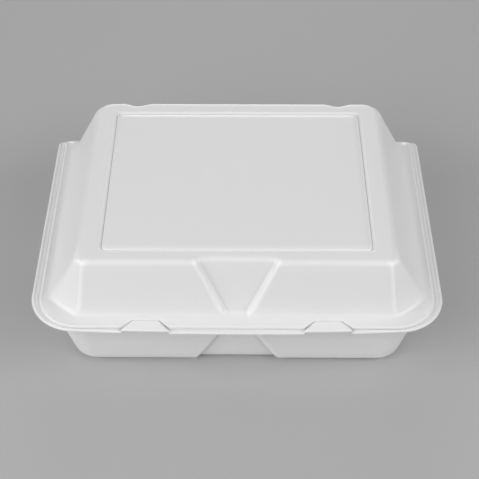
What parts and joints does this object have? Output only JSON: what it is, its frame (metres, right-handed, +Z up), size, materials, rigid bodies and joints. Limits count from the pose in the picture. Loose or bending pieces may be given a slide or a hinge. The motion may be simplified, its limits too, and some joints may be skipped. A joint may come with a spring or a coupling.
{
  "type": "foam hinged lid container",
  "caption": "Shallow white foam take-out box: a tray and a domed lid on a pressed back hinge, with a recessed top panel and latch tongues on the front lip.",
  "frame": {"origin": "under the middle of the closed box, on the surface it stands on", "axes": "+X along the hinge to the right seen from the front, +Y towards the hinge, +Z up"},
  "size_m": [0.235, 0.168, 0.077],
  "materials": {
    "tray_foam": "satin",
    "lid_foam": "satin"
  },
  "bodies": {
    "tray": {"tray": "tray_foam"},
    "lid": {"lid": "lid_foam"}
  },
  "joints": [
    {"name": "lid_hinge", "type": "hinge", "parent": "tray", "child": "lid", "pos_m": [0, 0.0834, 0.04015], "axis": [-1, 0, 0], "range_deg": [0, 180]}
  ]
}
